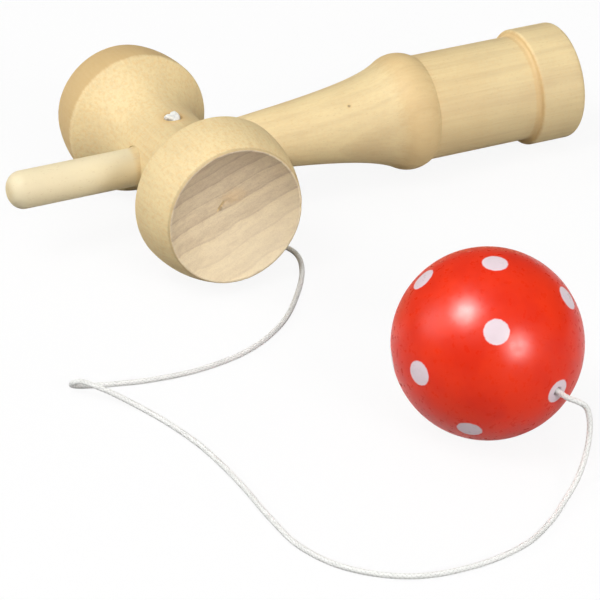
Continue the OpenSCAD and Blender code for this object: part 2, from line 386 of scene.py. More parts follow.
class Grain:
    """Adds and links the shader nodes of one material."""

    MEASURES: ClassVar[tuple[str, ...]] = ("DOT_PRODUCT", "LENGTH", "DISTANCE")

    def __init__(self, name: str) -> None:
        """Starts a material with its main shader.

        Args:
            name: The material's name.
        """
        self.material = bpy.data.materials.new(name)
        self.material.use_nodes = True
        self.tree = self.material.node_tree
        self.shader = self.tree.nodes["Principled BSDF"]

    def feed(self, target: NodeSocket, value: Number | Triple) -> None:
        """Links a socket to an input, or sets the input's own value.

        Args:
            target: The input.
            value: A socket, a number, a vector or a colour.
        """
        if isinstance(value, NodeSocket):
            self.tree.links.new(value, target)
        elif target.type == "RGBA":
            target.default_value = (*value, 1.0)
        else:
            target.default_value = value

    def node(
        self,
        kind: str,
        inputs: dict[str | int, Number | Triple] | None = None,
        **settings: str | bool,
    ) -> bpy.types.Node:
        """A new node.

        Args:
            kind: The node's type.
            inputs: Values or sockets for its inputs, by name or number.
            **settings: Properties of the node.

        Returns:
            The node.
        """
        made = self.tree.nodes.new(kind)
        for key, value in settings.items():
            setattr(made, key, value)
        for key, value in (inputs or {}).items():
            self.feed(made.inputs[key], value)
        return made

    def place(self) -> NodeSocket:
        """The piece's own coordinates, in millimetres."""
        inputs = {0: self.node("ShaderNodeTexCoord").outputs["Object"], "Scale": 1 / MM}
        return self.node("ShaderNodeVectorMath", inputs, operation="SCALE").outputs["Vector"]

    def math(self, what: str, a: Number, b: Number = 0.0, clamp: bool = False) -> NodeSocket:
        """Result of a sum on numbers, kept from 0 to 1 where clamp is set."""
        return self.node("ShaderNodeMath", {0: a, 1: b}, operation=what, use_clamp=clamp).outputs[0]

    def plus(self, *terms: Number) -> NodeSocket:
        """Sum of several numbers."""
        return reduce(lambda a, b: self.math("ADD", a, b), terms)

    def times(self, *terms: Number) -> NodeSocket:
        """Product of several numbers."""
        return reduce(lambda a, b: self.math("MULTIPLY", a, b), terms)

    def centred(self, value: NodeSocket) -> NodeSocket:
        """A number that runs from 0 to 1, moved to run evenly round 0."""
        return self.math("SUBTRACT", value, 0.5)

    def vector(self, what: str, a: Place, b: Place = (0.0, 0.0, 0.0)) -> NodeSocket:
        """Result of a sum on vectors; a number for a dot product, a length or a distance."""
        made = self.node("ShaderNodeVectorMath", {0: a, 1: b}, operation=what)
        return made.outputs["Value" if what in self.MEASURES else "Vector"]

    def axes(self, place: Place) -> list[NodeSocket]:
        """The three numbers of a vector."""
        return list(self.node("ShaderNodeSeparateXYZ", {0: place}).outputs)

    def span(
        self, value: Number, low: float, high: float, at_low: float = 0.0, at_high: float = 1.0
    ) -> NodeSocket:
        """A number carried smoothly from one range to another.

        Args:
            value: The number.
            low: Where its range starts.
            high: Where its range ends.
            at_low: What it gives at the start and before.
            at_high: What it gives at the end and after.

        Returns:
            The number in the new range.
        """
        inputs = {"Value": value, "From Min": low, "From Max": high}
        inputs |= {"To Min": at_low, "To Max": at_high}
        made = self.node("ShaderNodeMapRange", inputs, interpolation_type="SMOOTHSTEP")
        return made.outputs["Result"]

    def noise(self, along: Number | Place, speckle: Speckle, bands: bool = False) -> NodeSocket:
        """Noise in the piece's volume, or in uneven bands along one number.

        Args:
            along: Place in the volume, or the number.
            speckle: The noise, with how it is read.
            bands: True for bands along a number.

        Returns:
            The noise, from 0 to 1 where it is given as it is.
        """
        inputs = {
            "W" if bands else "Vector": along,
            "Scale": speckle.scale,
            "Detail": speckle.detail,
            "Roughness": speckle.rough,
            "Distortion": speckle.swirl,
        }
        dimensions = "1D" if bands else "3D"
        made = self.node("ShaderNodeTexNoise", inputs, noise_dimensions=dimensions).outputs["Fac"]
        return self.span(made, *speckle.read) if speckle.read else made

    def mix(self, share: Number, first: Paint, second: Paint) -> NodeSocket:
        """Colour between two colours.

        Args:
            share: Share of the second colour.
            first: The first colour.
            second: The second colour.

        Returns:
            The colour.
        """
        made = self.node("ShaderNodeMix", data_type="RGBA")
        sockets = {s.identifier: s for s in made.inputs}
        for key, value in (("Factor_Float", share), ("A_Color", first), ("B_Color", second)):
            self.feed(sockets[key], value)
        return next(s for s in made.outputs if s.identifier == "Result_Color")

    def bump(self, height: NodeSocket, depth: float, strength: float) -> NodeSocket:
        """Normal of a fine relief of that depth in millimetres."""
        inputs = {"Height": height, "Distance": depth * MM, "Strength": strength}
        return self.node("ShaderNodeBump", inputs).outputs["Normal"]

    def set(self, socket: Socket, value: Number | Colour) -> None:
        """Sets an input of the main shader, or links a socket to it."""
        self.feed(self.shader.inputs[socket.value], value)


@dataclass(frozen=True)
class StainAndSheenRing:
    """A tinted ring on a turned piece: place along the axis, half width, strength, soft edge."""

    place: float
    half: float
    strength: float
    soft: float = 3.0
    colour: Colour = (0.78, 0.51, 0.215)


@dataclass(frozen=True)
class Mark:
    """A dark spot with a warm halo: its place, its reach each way, its strength and the halo's."""

    place: Triple
    reach: Triple
    strength: float
    halo: float = 0.0


@dataclass(frozen=True)
class RawHollow:
    """An unsanded cup on the axis, as a part of a sphere: its centre's place and its radius."""

    place: float
    radius: float


@dataclass(frozen=True)
class Figure:
    """What the layers of a wood's colour share: places, distances, growth rings and fibres."""

    place: NodeSocket
    from_heart: NodeSocket
    away: NodeSocket
    drift: NodeSocket
    year: NodeSocket
    growth: NodeSocket
    rings: NodeSocket
    streak: NodeSocket
    thread: NodeSocket
    grit: NodeSocket
    pore: NodeSocket


@dataclass(frozen=True)
class WoodFinish:
    """Pale, sanded wood with its grain along the turned axis. Lengths are in millimetres."""

    # Growth rings that drift off round, and how much longer along the axis they are
    DRIFT: ClassVar[Speckle] = Speckle(0.05)
    DRIFT_STRETCH: ClassVar[Triple] = (1.0, 1.0, 0.22)
    YEARS: ClassVar[Speckle] = Speckle(1.0, 2.0, 0.55)
    RINGS: ClassVar[Reading] = (0.4, 0.72)
    # Fibres, clouds, pores and grit of the sanded wood
    FIBRE_STRETCH: ClassVar[Triple] = (1.0, 1.0, 0.035)
    STREAK: ClassVar[Speckle] = Speckle(1.1, 4.0, 0.62)
    STREAK_TONE: ClassVar[Reading] = (0.38, 0.75)
    THREAD: ClassVar[Speckle] = Speckle(5.5, 2.0, 0.6)
    THREAD_TONE: ClassVar[Reading] = (0.45, 0.8)
    THREAD_SHARE: ClassVar[float] = 0.5
    CLOUD: ClassVar[Speckle] = Speckle(0.06, 3.0, read=(0.35, 0.7, -0.06, 0.12))
    PORE_STRETCH: ClassVar[Triple] = (1.0, 1.0, 0.3)
    PORE_SCALE: ClassVar[float] = 1.9
    PORE_DARK: ClassVar[Reading] = (0.3, 0.12)
    PORE_PATCH: ClassVar[Speckle] = Speckle(0.7, 1.0, read=(0.42, 0.6))
    GRIT: ClassVar[Speckle] = Speckle(0.95, 3.0, 0.65, read=(0.42, 0.7))
    # One strong ring that shows as a line: how far it drifts, its half width and its strength
    EDGE_DRIFT: ClassVar[float] = 1.2
    EDGE_HALF: ClassVar[float] = 0.12
    EDGE_TONE: ClassVar[float] = 0.14
    # Raw end grain in the cups: combed wool, late wood and seams of the rings, and fuzz
    RAW_EDGE: ClassVar[Point] = (0.45, 0.12)
    COMB: ClassVar[float] = 0.3
    WOOL: ClassVar[Speckle] = Speckle(0.85, 4.0, 0.68, 0.4, (0.35, 0.7, 0.0, 0.3))
    FUZZ: ClassVar[Speckle] = Speckle(2.4, 3.0, 0.7, read=(0.4, 0.7, -0.05, 0.2))
    LATE: ClassVar[tuple[Reading, Reading]] = ((0.2, 0.9), (1.0, 0.93))
    SEAM: ClassVar[tuple[Reading, Reading]] = ((0.84, 0.93), (1.0, 0.95))
    RING_SHARE: ClassVar[float] = 0.6
    LATE_SHARE: ClassVar[float] = 0.35
    SEAM_SHARE: ClassVar[float] = 0.45
    # Ranges round the cup's middle: painted light (the raw grain's dark tone cut) away from the
    # heart, and painted shade near it
    PAINTED_LIGHT_RANGE: ClassVar[Point] = (-8.0, 20.0)
    PAINTED_LIGHT_FACTOR: ClassVar[float] = 0.45
    PAINTED_SHADE_RANGE: ClassVar[Point] = (-18.0, 12.0)
    # Halo and core of a mark, in reaches
    HALO: ClassVar[Point] = (3.2, 0.8)
    CORE: ClassVar[Point] = (1.2, 0.2)
    # Surface
    ROUGH_STREAK: ClassVar[Point] = (0.3, 0.75)
    RELIEF_SHARE: ClassVar[float] = 0.4
    RELIEF: ClassVar[Point] = (0.05, 0.5)
    SPECULAR: ClassVar[float] = 0.12

    name: str
    pale: Colour = (0.90, 0.72, 0.395)
    dark: Colour = (0.66, 0.47, 0.25)
    tint: Colour = (0.84, 0.55, 0.235)
    drift: float = 7.0
    raw_pale: Colour = (0.94, 0.80, 0.55)
    raw_dark: Colour = (0.52, 0.38, 0.25)
    # Colour of the painted shade laid over the raw cups on the side near the heart
    painted_shade_tone: Colour = (0.52, 0.42, 0.32)
    spot: Colour = (0.20, 0.11, 0.05)
    heart: Triple = (40.0, 55.0, 0.0)
    ring_gap: float = 2.4
    ring_depth: float = 0.4
    raw_depth: float = 0.5
    # Share of that painted shade where it is strongest
    painted_shade: float = 0.0
    grit: float = 0.16
    edge: float = 0.0
    fibre: float = 0.2
    fleck: float = 0.4
    rough: Point = (0.55, 0.7)
    stain_and_sheen_rings: tuple[StainAndSheenRing, ...] = ()
    marks: tuple[Mark, ...] = ()
    hollows: tuple[RawHollow, ...] = ()

    def figure(self, g: Grain) -> Figure:
        """Lays out the growth rings round the heart, the fibres, the pores and the grit.

        Args:
            g: The material's nodes.

        Returns:
            What the layers of colour share.
        """
        place = g.place()
        drift = g.noise(g.vector("MULTIPLY", place, self.DRIFT_STRETCH), self.DRIFT)
        drift = g.centred(drift)
        from_heart = g.vector("SUBTRACT", place, self.heart)
        from_heart = g.vector("MULTIPLY", from_heart, (1.0, 1.0, 0.0))
        away = g.vector("LENGTH", from_heart)
        year = g.math("DIVIDE", g.plus(away, g.times(drift, self.drift)), self.ring_gap)
        growth = g.noise(year, self.YEARS, bands=True)
        fibres = g.vector("MULTIPLY", place, self.FIBRE_STRETCH)
        cells = g.vector("MULTIPLY", place, self.PORE_STRETCH)
        cells = g.node("ShaderNodeTexVoronoi", {"Vector": cells, "Scale": self.PORE_SCALE})
        pore = g.span(cells.outputs["Distance"], *self.PORE_DARK)
        return Figure(
            place=place,
            from_heart=from_heart,
            away=away,
            drift=drift,
            year=year,
            growth=growth,
            rings=g.span(growth, *self.RINGS),
            streak=g.noise(fibres, self.STREAK),
            thread=g.noise(fibres, self.THREAD),
            grit=g.noise(place, self.GRIT),
            pore=g.times(pore, g.noise(place, self.PORE_PATCH)),
        )

    def sanded(self, g: Grain, wood: Figure) -> NodeSocket:
        """Colour of the sanded wood.

        Args:
            g: The material's nodes.
            wood: The wood's figure.

        Returns:
            The colour.
        """
        tone = g.plus(
            g.times(g.span(wood.streak, *self.STREAK_TONE), self.fibre),
            g.times(g.span(wood.thread, *self.THREAD_TONE), self.THREAD_SHARE * self.fibre),
            g.noise(wood.place, self.CLOUD),
        )
        if self.edge:
            off = g.plus(wood.away, g.times(wood.drift, self.EDGE_DRIFT))
            low, high = self.edge - self.EDGE_HALF, self.edge + self.EDGE_HALF
            tone = g.plus(tone, g.span(off, low, high, 0.0, self.EDGE_TONE))
        tone = g.math("ADD", tone, g.times(wood.rings, self.ring_depth), clamp=True)
        colour = g.mix(tone, self.pale, self.dark)
        return g.mix(g.times(wood.grit, self.grit), colour, self.tint)

    def with_stains_and_sheen(self, g: Grain, wood: Figure, colour: NodeSocket) -> NodeSocket:
        """Lays the stains, and the spike's painted sheen, over a colour.

        Args:
            g: The material's nodes.
            wood: The wood's figure.
            colour: The colour so far.

        Returns:
            The colour with its stains and painted sheen.
        """
        axis = g.axes(wood.place)[2]
        uneven = g.centred(wood.streak)
        for tinted_ring in self.stain_and_sheen_rings:
            off = g.math("ABSOLUTE", g.math("SUBTRACT", axis, tinted_ring.place))
            off = g.math("SUBTRACT", off, g.times(uneven, tinted_ring.soft))
            share = g.span(off, tinted_ring.half + tinted_ring.soft, tinted_ring.half, 0.0, tinted_ring.strength)
            colour = g.mix(share, colour, tinted_ring.colour)
        return colour

    def hollowed(self, g: Grain, wood: Figure, colour: NodeSocket) -> NodeSocket:
        """Leaves the cups' insides raw, with their growth rings combed out, painted light on the
        side away from the heart and painted shade on the side near it.

        Args:
            g: The material's nodes.
            wood: The wood's figure.
            colour: The colour so far.

        Returns:
            The colour with raw cups.
        """
        middle = Vector(self.heart).length
        across, beside, _ = g.axes(wood.from_heart)
        turn = g.times(g.math("ARCTAN2", beside, across), self.COMB * middle)
        combed = g.node("ShaderNodeCombineXYZ", {0: wood.away, 1: turn}).outputs[0]
        part = g.math("FRACT", wood.year)
        late, seam = (
            g.times(g.span(part, *rise), g.span(part, *fall))
            for rise, fall in (self.LATE, self.SEAM)
        )
        tone = g.plus(
            g.noise(combed, self.WOOL),
            g.times(wood.rings, self.RING_SHARE * self.raw_depth),
            g.times(late, self.LATE_SHARE * self.raw_depth),
            g.times(seam, wood.growth, self.SEAM_SHARE),
            g.noise(wood.place, self.FUZZ),
        )
        # Painted light: the raw grain's dark tone is cut on the side away from the heart
        painted_light = g.span(wood.away, middle + self.PAINTED_LIGHT_RANGE[0], middle + self.PAINTED_LIGHT_RANGE[1], 1.0, self.PAINTED_LIGHT_FACTOR)
        raw = g.mix(g.math("MULTIPLY", tone, painted_light, clamp=True), self.raw_pale, self.raw_dark)
        # Painted shade: the side near the heart is greyed towards the shade colour
        painted_shade = g.span(wood.away, middle + self.PAINTED_SHADE_RANGE[0], middle + self.PAINTED_SHADE_RANGE[1], self.painted_shade, 0.0)
        raw = g.mix(painted_shade, raw, self.painted_shade_tone)
        for cup in self.hollows:
            off = g.vector("DISTANCE", wood.place, (0.0, 0.0, cup.place))
            outer, inner = (cup.radius + edge for edge in self.RAW_EDGE)
            colour = g.mix(g.span(off, outer, inner), colour, raw)
        return colour

    def marked(self, g: Grain, wood: Figure, colour: NodeSocket) -> NodeSocket:
        """Lays the marks over a colour.

        Args:
            g: The material's nodes.
            wood: The wood's figure.
            colour: The colour so far.

        Returns:
            The marked colour.
        """
        uneven = g.centred(wood.grit)
        for mark in self.marks:
            off = g.vector("DIVIDE", g.vector("SUBTRACT", wood.place, mark.place), mark.reach)
            off = g.plus(g.vector("LENGTH", off), uneven)
            colour = g.mix(g.span(off, *self.HALO, 0.0, mark.halo), colour, self.tint)
            colour = g.mix(g.span(off, *self.CORE, 0.0, mark.strength), colour, self.spot)
        return colour

    def make(self) -> bpy.types.Material:
        """Paints the wood in the piece's own coordinates.

        Returns:
            The material.
        """
        g = Grain(self.name)
        wood = self.figure(g)
        colour = self.sanded(g, wood)
        if self.stain_and_sheen_rings:
            colour = self.with_stains_and_sheen(g, wood, colour)
        if self.hollows:
            colour = self.hollowed(g, wood, colour)
        if self.marks:
            colour = self.marked(g, wood, colour)
        g.set(Socket.COLOUR, g.mix(g.times(wood.pore, self.fleck), colour, self.dark))
        g.set(Socket.ROUGHNESS, g.span(wood.streak, *self.ROUGH_STREAK, *self.rough))
        relief = g.times(g.plus(wood.thread, wood.grit), self.RELIEF_SHARE)
        relief = g.math("SUBTRACT", relief, wood.pore)
        g.set(Socket.NORMAL, g.bump(relief, *self.RELIEF))
        g.set(Socket.SPECULAR, self.SPECULAR)
        return g.material


@dataclass(frozen=True)
class DottedLacquer:
    """Red lacquer with painted dots, given as directions from the ball's centre."""

    # Edge of a dot, as cosines of its angle: how ragged it is and how soft
    RAGGED: ClassVar[Speckle] = Speckle(1.3, 3.0)
    RAGGED_BY: ClassVar[float] = 0.0022
    SOFT: ClassVar[float] = 0.0011
    # Patches of deeper red, and the lacquer's uneven skin
    PATCH: ClassVar[Speckle] = Speckle(0.09, 3.0, 0.55, read=(0.35, 0.7))
    PEEL: ClassVar[Speckle] = Speckle(0.55, 3.0, 0.6)
    PEEL_ROUGH: ClassVar[Reading] = (0.3, 0.7, 0.26, 0.36)
    FINE: ClassVar[Speckle] = Speckle(3.2)
    PAINT_HEIGHT: ClassVar[float] = 0.6
    FINE_HEIGHT: ClassVar[float] = 0.35
    RELIEF: ClassVar[Point] = (0.05, 0.1)
    SPECULAR: ClassVar[float] = 0.18

    name: str
    dots: tuple[Triple, ...]
    dot_angle: float
    red: Colour = (0.91, 0.038, 0.007)
    deep: Colour = (0.83, 0.028, 0.006)
    white: Colour = (0.86, 0.715, 0.765)

    def make(self) -> bpy.types.Material:
        """Paints the ball in its own coordinates.

        Returns:
            The material.
        """
        g = Grain(self.name)
        place = g.place()
        facing = g.vector("NORMALIZE", place)
        near = [g.vector("DOT_PRODUCT", facing, dot) for dot in self.dots]
        nearest = reduce(lambda a, b: g.math("MAXIMUM", a, b), near)
        ragged = g.centred(g.noise(place, self.RAGGED))
        edge = math.cos(math.radians(self.dot_angle))
        reach = g.plus(nearest, g.times(ragged, self.RAGGED_BY))
        paint = g.span(reach, edge - self.SOFT, edge + self.SOFT)
        red = g.mix(g.noise(place, self.PATCH), self.red, self.deep)
        g.set(Socket.COLOUR, g.mix(paint, red, self.white))
        peel = g.noise(place, self.PEEL)
        g.set(Socket.ROUGHNESS, g.span(peel, *self.PEEL_ROUGH))
        fine = g.times(g.noise(place, self.FINE), self.FINE_HEIGHT)
        raised = g.plus(g.times(paint, self.PAINT_HEIGHT), peel, fine)
        g.set(Socket.NORMAL, g.bump(raised, *self.RELIEF))
        g.set(Socket.SPECULAR, self.SPECULAR)
        return g.material


@dataclass(frozen=True)
class CottonFinish:
    """White braided cotton."""

    LINT: ClassVar[Speckle] = Speckle(4.5, 3.0, 0.65)
    LINT_GREY: ClassVar[Reading] = (0.45, 0.8, 0.0, 0.2)
    LINT_ROUGH: ClassVar[Reading] = (0.3, 0.7, 0.75, 0.92)
    DIRT: ClassVar[Speckle] = Speckle(0.08, 3.0, read=(0.5, 0.75, 0.0, 0.2))
    # Painted shade: grey laid where the braid's strands dip, read from their height
    VALLEY_PAINTED_SHADE: ClassVar[Reading] = (0.5, 0.1, 0.0, 0.6)
    RELIEF: ClassVar[Point] = (0.06, 0.5)
    SPECULAR: ClassVar[float] = 0.2
    SHEEN: ClassVar[float] = 0.2
    SHEEN_ROUGHNESS: ClassVar[float] = 0.5

    name: str
    white: Colour = (0.89, 0.89, 0.86)
    grey: Colour = (0.52, 0.52, 0.48)

    def make(self) -> bpy.types.Material:
        """Dyes the string, with lint, slight dirt and painted shade in the valleys between the
        strands.

        Returns:
            The material.
        """
        g = Grain(self.name)
        place = g.place()
        lint = g.noise(place, self.LINT)
        height = g.node("ShaderNodeAttribute", attribute_name=STRAND_HEIGHT).outputs["Fac"]
        share = g.plus(g.span(lint, *self.LINT_GREY), g.noise(place, self.DIRT))
        # painted shade in the braid's valleys
        share = g.math("ADD", share, g.span(height, *self.VALLEY_PAINTED_SHADE), clamp=True)
        g.set(Socket.COLOUR, g.mix(share, self.white, self.grey))
        g.set(Socket.ROUGHNESS, g.span(lint, *self.LINT_ROUGH))
        g.set(Socket.NORMAL, g.bump(lint, *self.RELIEF))
        g.set(Socket.SPECULAR, self.SPECULAR)
        g.set(Socket.SHEEN, self.SHEEN)
        g.set(Socket.SHEEN_ROUGHNESS, self.SHEEN_ROUGHNESS)
        return g.material


Finish = WoodFinish | DottedLacquer | CottonFinish


def dress(obj: bpy.types.Object, finish: Finish) -> None:
    """Gives a piece its finish.

    Args:
        obj: The piece.
        finish: Its finish.
    """
    obj.data.materials.clear()
    obj.data.materials.append(finish.make())


# Pieces


@dataclass(frozen=True)
class Cup:
    """One cup of the cross piece: the way it opens along the axis, and its sizes."""

    way: int
    reach: float
    rim: float
    radius: float
    shoulder: float
    depth: float


@dataclass(frozen=True)
class Tear:
    """Torn grain, in millimetres: its place across the cup, heading, length, width and depth."""

    across: float
    up: float
    heading: float
    length: float
    width: float
    depth: float

    def depth_at(self, x: float, y: float) -> float:
        """How deep the grain is torn at a place across the cup.

        Args:
            x: The place's first number, in metres.
            y: Its second number.

        Returns:
            The depth in metres.
        """
        dx, dy = x / MM - self.across, y / MM - self.up
        c, s = math.cos(math.radians(self.heading)), math.sin(math.radians(self.heading))
        off = ((dx * c + dy * s) / self.length) ** 2 + ((dy * c - dx * s) / self.width) ** 2
        return self.depth * MM * math.exp(-off)


@dataclass
class CrossPiece:
    """Turned spool with a large and a small cup, bored across for the handle and the string."""

    big: Cup = Cup(-1, 43.8 * MM, 20.6 * MM, 23.8 * MM, 27.2 * MM, 9.4 * MM)
    small: Cup = Cup(1, 42.6 * MM, 19.6 * MM, 21.7 * MM, 27.6 * MM, 8.6 * MM)
    waist: float = 13.3 * MM
    waist_flat: float = 8.45 * MM
    rim_wall: float = 1.0 * MM
    shoulder_round: float = 1.4 * MM
    flank_angle: float = 50.0
    root_bore: float = 6.05 * MM
    neck_bore: float = 7.45 * MM
    neck_from: float = 3.95 * MM
    string_bore: float = 1.4 * MM
    pocket: float = 2.8 * MM
    pocket_depth: float = 3.0 * MM
    nick: float = 0.16 * MM
    nick_share: float = 0.5
    nick_below: float = 1.4 * MM
    nick_beside: float = 1.6 * MM
    nick_gap: float = 0.8 * MM
    nick_shift: float = 10.0 * MM
    chip: float = 0.4 * MM
    chip_width: float = 0.9 * MM
    chip_turn: float = math.radians(2.6)
    tears: tuple[Tear, ...] = (
        Tear(-0.3, 0.8, -50, 2.0, 0.4, 0.34),
        Tear(1.3, -0.3, -38, 1.5, 0.35, 0.22),
        Tear(-1.0, 1.7, -58, 1.1, 0.35, 0.28),
        Tear(0.7, 1.3, 18, 1.3, 0.3, 0.18),
        Tear(0.2, -0.7, -78, 1.2, 0.3, 0.18),
    )
    tear_reach: float = 7.0 * MM
    tear_near: float = 1.5 * MM
    sides: int = 256
    bore_sides: int = 128
    string_sides: int = 64
    obj: bpy.types.Object | None = field(init=False, default=None)

    def bottom(self, cup: Cup) -> float:
        """Place of a cup's bottom, from the middle outwards."""
        return cup.reach - self.rim_wall / 2 - cup.depth

    def inside(self, cup: Cup) -> list[Point]:
        """Hollow of one cup, from its rim to its bottom."""
        rim, reach = cup.rim - self.rim_wall, cup.reach - self.rim_wall / 2
        return hollow(rim, reach, cup.depth, cup.way, steps=72)

    def outside(self, cup: Cup) -> list[Point]:
        """Outside of one cup, from the inner edge of its rim to the waist.

        Args:
            cup: The cup.

        Returns:
            The points from the rim to the waist.
        """
        core = cup.radius - self.shoulder_round
        lean = math.radians(self.flank_angle)
        flank = (
            core + self.shoulder_round * math.cos(lean),
            cup.shoulder - self.shoulder_round * math.sin(lean),
        )
        turn = (self.waist, flank[1] - (flank[0] - self.waist) / math.tan(lean))
        edge = (cup.rim - self.rim_wall / 2, cup.reach - self.rim_wall / 2)
        widest = (cup.radius, cup.shoulder)
        swell = (cup.radius, (cup.shoulder + cup.reach) / 2)
        points = arc(edge, self.rim_wall / 2, 180, 0, steps=12)
        points += curve([(cup.rim, edge[1]), swell, widest], steps=36)
        points += arc((core, cup.shoulder), self.shoulder_round, 0, -self.flank_angle, steps=20)
        points += curve([flank, turn, (self.waist, self.waist_flat)], steps=40)
        return [(r, cup.way * a) for r, a in points]

    def build(self, rest: Matrix) -> None:
        """Turns the spool, bores it and replaces the plain solid.

        Args:
            rest: The toy's resting place.
        """
        waist = line((self.waist, -self.waist_flat), (self.waist, self.waist_flat), gap=0.8 * MM)
        runs = [
            self.inside(self.big)[::-1],
            self.outside(self.big) + waist + self.outside(self.small)[::-1],
            self.inside(self.small),
        ]
        mesh = turned_mesh("cross_piece_form", runs, self.sides)
        lie = rest @ Matrix.Rotation(math.radians(-90), 4, "X")
        self.obj = placed("turned_cross_piece", mesh, lie)
        span = 2 * self.waist
        handle_bore = stepped(
            (0, -span),
            (self.root_bore, -span),
            (self.root_bore, self.neck_from),
            (self.neck_bore, self.neck_from),
            (self.neck_bore, span),
            (0, span),
        )
        floor = self.waist - self.pocket_depth
        string_bore = stepped(
            (0, -span),
            (self.string_bore, -span),
            (self.string_bore, floor),
            (self.pocket, floor),
            (self.pocket, span),
            (0, span),
        )
        along = rest @ Matrix.Rotation(math.radians(90), 4, "Y")
        cutters = [
            placed("handle_bore", turned_mesh("handle_bore", handle_bore, self.bore_sides), along),
            placed("string_bore", turned_mesh("string_bore", string_bore, self.string_sides), rest),
        ]
        bored(self.obj, cutters)
        self.wear()
        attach(self.obj, "toy")
        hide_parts("cross_piece")

    def wear(self) -> None:
        """Nicks both rims, chips the large one and tears grain out of the large cup's middle."""
        bottom = -self.bottom(self.big)
        for vert in self.obj.data.vertices:
            x, y, z = vert.co
            r = math.hypot(x, y)
            for cup in (self.big, self.small):
                below = (cup.reach - cup.way * z) / self.nick_below
                if below < 1 and abs(r - cup.rim + self.rim_wall / 2) < self.nick_beside:
                    spot = Vector((x, y, cup.way * self.nick_shift)) / self.nick_gap
                    nick = self.nick * max(0.0, self.nick_share + noise.noise(spot)) ** 2
                    if cup is self.big:
                        aside = (math.atan2(y, x) - self.chip_turn) * cup.rim / self.chip_width
                        nick += self.chip * math.exp(-aside * aside)
                    vert.co.z -= cup.way * nick * (1 - below) ** 2
            if r < self.tear_reach and abs(z - bottom) < self.tear_near:
                for tear in self.tears:
                    vert.co.z += tear.depth_at(x, y)

    def dress(self) -> None:
        """Gives the spool its wood, with growth rings that slant across the cups."""
        cups = []
        for cup in (self.big, self.small):
            radius = bowl_radius(cup.rim - self.rim_wall, cup.depth)
            cups.append(RawHollow(cup.way * (self.bottom(cup) + radius) / MM, radius / MM))
        bottom = -self.bottom(self.big) / MM
        finish = WoodFinish(
            "cup_wood",
            heart=(-11.8, -29.8, 0.0),
            drift=5.0,
            ring_gap=5.0,
            ring_depth=0.12,
            raw_depth=0.44,
            # painted shade on the cup hollows' side near the heart
            painted_shade=0.44,
            grit=0.45,
            fibre=0.26,
            fleck=0.25,
            stain_and_sheen_rings=(
                StainAndSheenRing(35.4, 6.6, 0.75, 1.6, (0.72, 0.49, 0.22)),
                StainAndSheenRing(-43.7, 0.4, 0.55, 0.6, (0.60, 0.43, 0.22)),
            ),
            marks=(
                Mark((4.0, -2.0, bottom), (1.5, 1.0, 1.2), 0.0, 0.22),
                Mark((-0.5, 1.2, bottom), (0.55, 0.8, 1.0), 0.42),
                Mark((0.3, 0.1, bottom), (0.5, 0.7, 1.0), 0.36),
                Mark((1.6, -0.7, bottom), (1.2, 0.8, 1.0), 0.16, 0.12),
                Mark((0.0, -self.waist / MM, 0.0), (1.7, 3.0, 1.7), 0.0, 0.7),
            ),
            hollows=tuple(cups),
        )
        dress(self.obj, finish)


